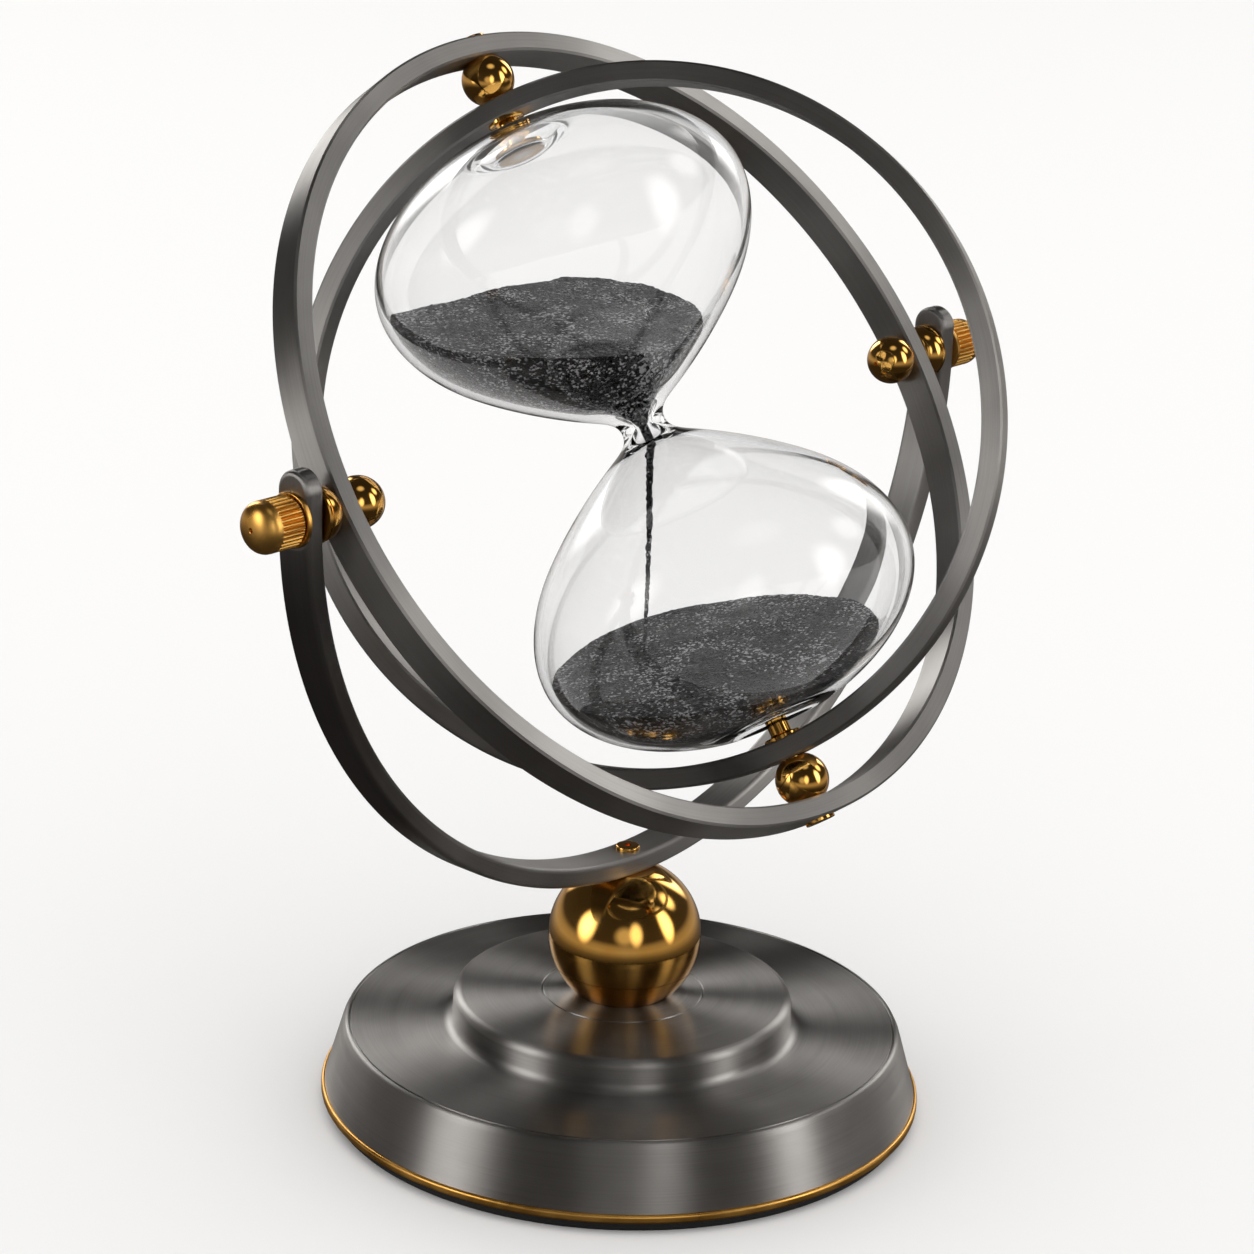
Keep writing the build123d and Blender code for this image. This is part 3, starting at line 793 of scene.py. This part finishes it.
# ---------------------------------------------------------------- ring pivots, drawn about the glass's axis
def both_ends(piece, name, place, body, slot, finish, node_start):
    """Copies a piece drawn about the glass's axis to its upper and its lower end."""
    for end, flip in (("upper", BASE), ("lower", UPSIDE_DOWN)):
        settle(copy_of(piece), f"{name}_{end}", place @ flip, body, slot, finish, f"{node_start}_{end}")
    bpy.data.objects.remove(piece)


spacer_low, spacer_high, spacer_radius = span("spacer_ball_upper", OUTER)
spacer_centre = (spacer_low + spacer_high) / 2
flat = math.degrees(math.asin((spacer_high - spacer_centre) / spacer_radius))
spacer = turn(
    [(journal_bore, spacer_low)]
    + arc((0, spacer_centre), spacer_radius, -flat, flat, 36)
    + [(journal_bore, spacer_high)],
    bored=True,
)
both_ends(spacer, "spacer_globe", OUTER, "outer_ring", "polished_brass", mirror_brass, "spacer_ball")

journal_tip, head_top, head_radius = span("pivot_screw_upper", OUTER)
pivot = screw(journal_tip, head_top, head_radius, 1.2, 0.35)
both_ends(pivot, "pivot_pin", OUTER, "outer_ring", "polished_brass", mirror_brass, "pivot_screw")

cup_bottom, seat_top, cup_radius = span("glass_seat_upper", INNER)
cup_top = cup_bottom + 1.5
cup_edge = 0.4
cup_flat = cup_radius - cup_edge
flange_top = 94.3
flange_bottom = flange_top - 1.3
flange_radius = 5.3
flange_edge = 0.3
stem_radius = 3.0
spigot_radius = 3.6
bore_floor = seat_top - 4.75
bore_end = 1.0
seat = turn(
    [(bore_end, cup_bottom), (cup_flat, cup_bottom)]
    + arc((cup_flat, cup_bottom + cup_edge), cup_edge, -60, 0, 3)
    + arc((cup_flat, cup_top - cup_edge), cup_edge, 0, 90, 4)
    + [(spigot_radius, cup_top), (stem_radius, cup_top + 0.6), (stem_radius, flange_bottom - 0.5)]
    + [(3.5, flange_bottom), (5.0, flange_bottom), (flange_radius, flange_bottom + flange_edge)]
    + [(flange_radius, flange_top), (spigot_radius, flange_top), (spigot_radius, seat_top)]
    + [(journal_bore, seat_top), (journal_bore, bore_floor), (bore_end, bore_floor)],
)
both_ends(seat, "glass_end_stud", INNER, "inner_ring", "polished_brass", mirror_brass, "glass_seat")

pad_bottom, pad_top, pad_radius = span("glass_pad_upper", INNER)
pad_hole = 0.5
pad_edge = 0.3
pad = turn(
    [(pad_hole, pad_bottom), (pad_radius - pad_edge, pad_bottom), (pad_radius, pad_bottom + pad_edge)]
    + [(pad_radius, pad_top - pad_edge), (pad_radius - pad_edge, pad_top), (pad_hole, pad_top)],
)
both_ends(pad, "glass_end_pad", INNER, "inner_ring", "clear_silicone", silicone_finish, "glass_pad")


# ---------------------------------------------------------------- glass
glass_high = reach("glass", INNER)[1]
glass_length, glass_radius = glass_high.z, glass_high.x
glass_belly = 55.0
glass_wall = 2.0
neck_radius = 6.2
neck_bore = 1.7
dimple_floor = 85.4
dimple_flat = 7.4
dimple_mouth = 14.5
brim_radius = 11.0          # where the wall is highest, at the edge of the dimple
bore_taper = 8.0            # height over which the bulb's bore narrows to the neck's
flare_points = [
    Vector((neck_radius, 0)),
    Vector((neck_radius * 1.9, glass_belly * 0.114)),
    Vector((glass_radius * 0.507, glass_belly * 0.297)),
    Vector((glass_radius * 0.857, glass_belly * 0.617)),
    Vector((glass_radius, glass_belly)),
]
flare_headings = [
    Vector((0, 8.0)),
    Vector((11.0, 6.0)),
    Vector((18.5, 13.6)),
    Vector((14.5, 20.0)),
    Vector((0, 22.0)),
]


def flare(steps):
    """Points and headings along one bulb's side, from the neck to its widest place."""
    for i in range(len(flare_points) - 1):
        start, end = flare_points[i], flare_points[i + 1]
        leave, arrive = flare_headings[i], flare_headings[i + 1]
        for step in range(steps):
            t = step / steps
            spot = (
                start * (2 * t**3 - 3 * t**2 + 1)
                + leave * (t**3 - 2 * t**2 + t)
                + end * (3 * t**2 - 2 * t**3)
                + arrive * (t**3 - t**2)
            )
            heading = (
                start * (6 * t**2 - 6 * t)
                + leave * (3 * t**2 - 4 * t + 1)
                + end * (6 * t - 6 * t**2)
                + arrive * (3 * t**2 - 2 * t)
            )
            yield spot, heading.normalized()


def bulb(inset=0.0, neck=neck_radius):
    """(radius, height) points of one bulb, set in by a distance, from the neck to its dimple."""
    flare_steps, crown_steps, dimple_steps = 5, 12, 7
    points = []
    for spot, heading in flare(flare_steps):
        near_neck = max(0.0, 1 - spot.y / bore_taper) ** 2
        depth = inset + (neck_radius - neck - inset) * near_neck
        points.append((spot.x - heading.y * depth, spot.y + heading.x * depth))
    crown = (glass_length - glass_belly) / math.sqrt(1 - (brim_radius / glass_radius) ** 2)
    wide, tall = glass_radius - inset, crown - inset
    mouth = dimple_mouth + inset
    last = math.acos(mouth / wide)
    for step in range(crown_steps + 1):
        t = last * step / crown_steps
        points.append((wide * math.cos(t), glass_belly + tall * math.sin(t)))
    brim = points[-1][1]
    floor = dimple_floor - inset
    for step in range(1, dimple_steps + 1):
        share = 1 - step / dimple_steps
        radius = dimple_flat + (mouth - dimple_flat) * share
        points.append((radius, floor + (brim - floor) * share**2 * (3 - 2 * share)))
    return points + [(dimple_flat * 0.5, floor)]


def blown(points, facets=36):
    """Both bulbs in one closed skin, smoothed by subdivision, which draws a ring of facets in a little."""
    swell = 3 / (2 + math.cos(2 * math.pi / facets))
    half = [(radius * swell, height) for radius, height in points]
    mirrored = [(radius, -height) for radius, height in reversed(half[1:])]
    skin = turn(mirrored + half, facets)
    apply_modifier(skin, "SUBSURF", levels=2, render_levels=2)
    return skin


glass = blown(bulb())
inside_skin = blown(bulb(glass_wall, neck_bore))
pick_only(inside_skin)
start_editing()
bpy.ops.mesh.flip_normals()
bpy.ops.object.mode_set(mode="OBJECT")
pick_only(glass)
inside_skin.select_set(True)
bpy.ops.object.join()
settle(glass, "blown_glass", INNER, "inner_ring", "clear_glass", glass_finish, "glass")


# ---------------------------------------------------------------- sand
def sand_body(flip, top_place):
    """Sand that fills one bulb up to a sloping top, with ripples and loose grains on it."""
    wall_gap, neck_gap = 0.2, 0.15
    top_size, top_cells, block_depth = 130, 128, 90
    ripple_size, ripple_height, grain_height = 24, 2.4, 0.22
    filling = turn(bulb(glass_wall + wall_gap, neck_bore - neck_gap))
    put(filling, INNER @ flip)
    clear_selection()
    bpy.ops.mesh.primitive_grid_add(x_subdivisions=top_cells, y_subdivisions=top_cells, size=top_size * MM)
    block = bpy.context.object
    ripples = bpy.data.textures.new("ripples", "CLOUDS")
    ripples.noise_scale = ripple_size * MM
    apply_modifier(block, "DISPLACE", texture=ripples, strength=ripple_height * MM, mid_level=0.5)
    pick_only(block)
    start_editing()
    bpy.ops.transform.vertex_random(offset=grain_height * MM, seed=4)
    bpy.ops.mesh.select_all(action="DESELECT")
    bpy.ops.mesh.select_non_manifold()
    bpy.ops.mesh.extrude_edges_move(TRANSFORM_OT_translate={"value": (0, 0, -block_depth * MM)})
    put(close_up(block), top_place)
    apply_modifier(filling, "BOOLEAN", operation="INTERSECT", object=block, solver="EXACT")
    bpy.data.objects.remove(block)
    return filling


upper_level = 24.0
upper_top = Matrix.Translation(centre + Vector((0, 0, upper_level * MM)))
upper_sand = sand_body(BASE, upper_top)
settle(upper_sand, "sand_in_upper_bulb", BASE, "inner_ring", "black_sand", sand_finish, "sand_upper")

lower_level = -58.0
slope = math.radians(9.5)
slope_heading = math.radians(-47.5)
lower_spot = centre + Vector((0, lower_level * math.tan(ring_tilt), lower_level)) * MM
lower_top = (
    Matrix.Translation(lower_spot)
    @ Matrix.Rotation(slope_heading, 4, "Z")
    @ Matrix.Rotation(-slope, 4, "Y")
)
lower_sand = sand_body(UPSIDE_DOWN, lower_top)
settle(lower_sand, "sand_in_lower_bulb", BASE, "inner_ring", "black_sand", sand_finish, "sand_lower")


def falling_sand():
    """Ragged thread of sand: out of the neck along the glass's axis, then straight down."""
    dice = random.Random(11)
    lean = glass_axis.y / glass_axis.z
    start, bend, steps = 6.0, -4.5, 90
    heap_offset, buried = 39.0, 1.0
    surface = lower_level + heap_offset * math.tan(slope) * math.sin(slope_heading) - buried
    top_radius, neck_thread, thinning = 1.5, 1.42, 0.95
    wobble, ragged_from, ragged_to = 0.12, 0.82, 1.18
    clear_selection()
    bpy.ops.mesh.primitive_circle_add(vertices=14, radius=top_radius * MM)
    piece = bpy.context.object
    start_editing()
    spot, radius = Vector((0, start * lean, start)), top_radius
    bpy.ops.transform.translate(value=spot * MM)
    for step in range(1, steps + 1):
        height = start + (surface - start) * step / steps
        if height > bend:
            aim = Vector((0, height * lean, height))
            next_radius = neck_thread
        else:
            aim = Vector((0, bend * lean, height))
            aim.x += dice.uniform(-wobble, wobble)
            aim.y += dice.uniform(-wobble, wobble)
            fallen = (bend - height) / (bend - surface)
            next_radius = (neck_thread - thinning * fallen**0.45) * dice.uniform(ragged_from, ragged_to)
        bpy.ops.mesh.extrude_edges_move(TRANSFORM_OT_translate={"value": (aim - spot) * MM})
        growth = next_radius / radius
        bpy.ops.transform.resize(value=(growth, growth, 1), center_override=aim * MM)
        spot, radius = aim, next_radius
    return close_up(piece)


settle(falling_sand(), "sand_thread", GIMBAL, "inner_ring", "black_sand", sand_finish, "sand_stream")


# ---------------------------------------------------------------- pieces out of sight keep their CAD shape
for node_name, finish in (
    ("base_ballast", iron_finish),
    ("base_bolt", zinc_finish),
    ("base_bolt_washer", zinc_finish),
    ("yoke_bush_left", satin_brass_left),
    ("yoke_bush_right", satin_brass_right),
    ("pivot_stud_left", satin_brass_left),
    ("pivot_stud_right", satin_brass_right),
):
    hidden = frame["nodes"][node_name]
    hidden.data.materials.clear()
    hidden.data.materials.append(finish)


# ---------------------------------------------------------------- studio
def stage_material(name, colour, glow=0.0):
    """Plain paper, or paper lit from behind."""
    return finish_named(
        name,
        Base_Color=linear(colour),
        Roughness=0.9,
        Emission_Color=linear("#FFFFFF"),
        Emission_Strength=glow,
    )[0]


clear_selection()
bpy.ops.mesh.primitive_circle_add(vertices=96, radius=7, fill_type="NGON")
floor = bpy.context.object
floor.name = "studio_floor"
floor.data.materials.append(stage_material("white_paper", "#F2F1F0"))
floor.visible_glossy = False

bpy.ops.mesh.primitive_uv_sphere_add(segments=48, ring_count=24, radius=8)
dome_light = bpy.context.object
dome_light.name = "studio_dome"
dome_light.data.materials.append(stage_material("white_dome", "#000000", 1.0))
dome_light.visible_glossy = False
dome_light.visible_shadow = False


def towards(azimuth, elevation):
    """Direction from the object. Azimuth 0 is +X, 90 is +Y."""
    turn_to, lift = math.radians(azimuth), math.radians(elevation)
    return Vector((math.cos(turn_to) * math.cos(lift), math.sin(turn_to) * math.cos(lift), math.sin(lift)))


def panel(azimuth, elevation, width, height, glow, distance=2.2):
    """A lit panel with soft edges that only shiny pieces see, aimed at the object."""
    clear_selection()
    bpy.ops.mesh.primitive_plane_add(size=1)
    sheet = bpy.context.object
    sheet.name = f"panel_{azimuth}_{elevation}"
    away = towards(azimuth, elevation)
    sheet.matrix_world = (
        Matrix.Translation(centre + away * distance)
        @ (-away).to_track_quat("-Z", "Y").to_matrix().to_4x4()
        @ Matrix.Diagonal((width, height, 1, 1))
    )
    made, tree = finish_named(
        sheet.name, Base_Color=linear("#000000"), Emission_Color=linear("#FFFDFA"), Emission_Strength=glow
    )
    across = node(tree, "TexCoord").outputs["UV"]
    centred = node(
        tree, "Mapping", {"Vector": across, "Location": (-1, -1, 0), "Scale": (2, 2, 1)}
    ).outputs["Vector"]
    falloff = node(tree, "TexGradient", {"Vector": centred}, gradient_type="SPHERICAL").outputs["Fac"]
    cover = node(
        tree, "MapRange", {"Value": falloff, "From Max": 0.7}, interpolation_type="SMOOTHSTEP"
    ).outputs["Result"]
    feed(tree, Alpha=cover)
    sheet.data.materials.append(made)
    sheet.visible_camera = False
    sheet.visible_diffuse = False
    sheet.visible_transmission = False
    sheet.visible_shadow = False


for layout in (
    # azimuth, elevation, width, height, glow, and distance where it isn't the usual one
    (-66, 18, 1.1, 2.4, 5.0),
    (-34, 34, 1.0, 1.2, 3.0),
    (6, 22, 1.0, 2.0, 4.6),
    (74, 22, 1.1, 2.0, 5.6),
    (158, 16, 1.5, 2.2, 4.4),
    (-120, 16, 1.0, 1.8, 2.4),
    (-138, 14, 1.7, 1.6, 0.7, 2.4),
    (-110, 74, 1.4, 1.2, 1.0),
):
    panel(*layout)

sun_data = bpy.data.lights.new("soft_sun", "SUN")
sun_data.angle = math.radians(70)
sun_data.energy = 0.9
sun = bpy.data.objects.new("soft_sun", sun_data)
bpy.context.scene.collection.objects.link(sun)
sun.rotation_euler = (-towards(-110, 60)).to_track_quat("-Z", "Y").to_euler()
sun.visible_glossy = False

world = bpy.data.worlds.new("studio_surround")
bpy.context.scene.world = world
world.use_nodes = True
direction = node(world.node_tree, "TexCoord").outputs["Generated"]
upness = node(world.node_tree, "SeparateXYZ", {"Vector": direction}).outputs["Z"]
share = node(world.node_tree, "MapRange", {"Value": upness, "From Min": -1.0}).outputs["Result"]
surround = node(
    world.node_tree,
    "ValToRGB",
    {"Fac": share},
    [(0.0, "#34302E"), (0.30, "#3A3735"), (0.36, "#6E6A67"), (0.44, "#B9B4AF")]
    + [(0.50, "#A8A39F"), (0.56, "#464342"), (1.0, "#302E2D")],
).outputs["Color"]
background = world.node_tree.nodes["Background"]
world.node_tree.links.new(surround, background.inputs["Color"])

# ---------------------------------------------------------------- camera
view_azimuth = math.radians(-48.04)       # compass direction of the view, 0 looks along +Y
view_elevation = math.radians(18.88)
view_roll = math.radians(2.063)
view_distance = 1.0892
view_side_shift = -0.0025
view_height = 0.14423
back = Vector(
    (
        math.sin(view_azimuth) * math.cos(view_elevation),
        -math.cos(view_azimuth) * math.cos(view_elevation),
        math.sin(view_elevation),
    )
)
level_right = Vector((math.cos(view_azimuth), math.sin(view_azimuth), 0))
level_up = back.cross(level_right)
view_right = level_right * math.cos(view_roll) + level_up * math.sin(view_roll)
view_up = level_up * math.cos(view_roll) - level_right * math.sin(view_roll)
target = Vector((view_right.x * view_side_shift, view_right.y * view_side_shift, view_height))
camera_data = bpy.data.cameras.new("camera")
camera_data.sensor_width = 36
camera_data.lens = 112.0
camera_data.clip_start = 0.01
camera = bpy.data.objects.new("camera", camera_data)
bpy.context.scene.collection.objects.link(camera)
camera.matrix_world = (
    Matrix.Translation(target + back * view_distance)
    @ Matrix((view_right, view_up, back)).transposed().to_4x4()
)
bpy.context.scene.camera = camera
bpy.context.scene.view_settings.view_transform = "Standard"
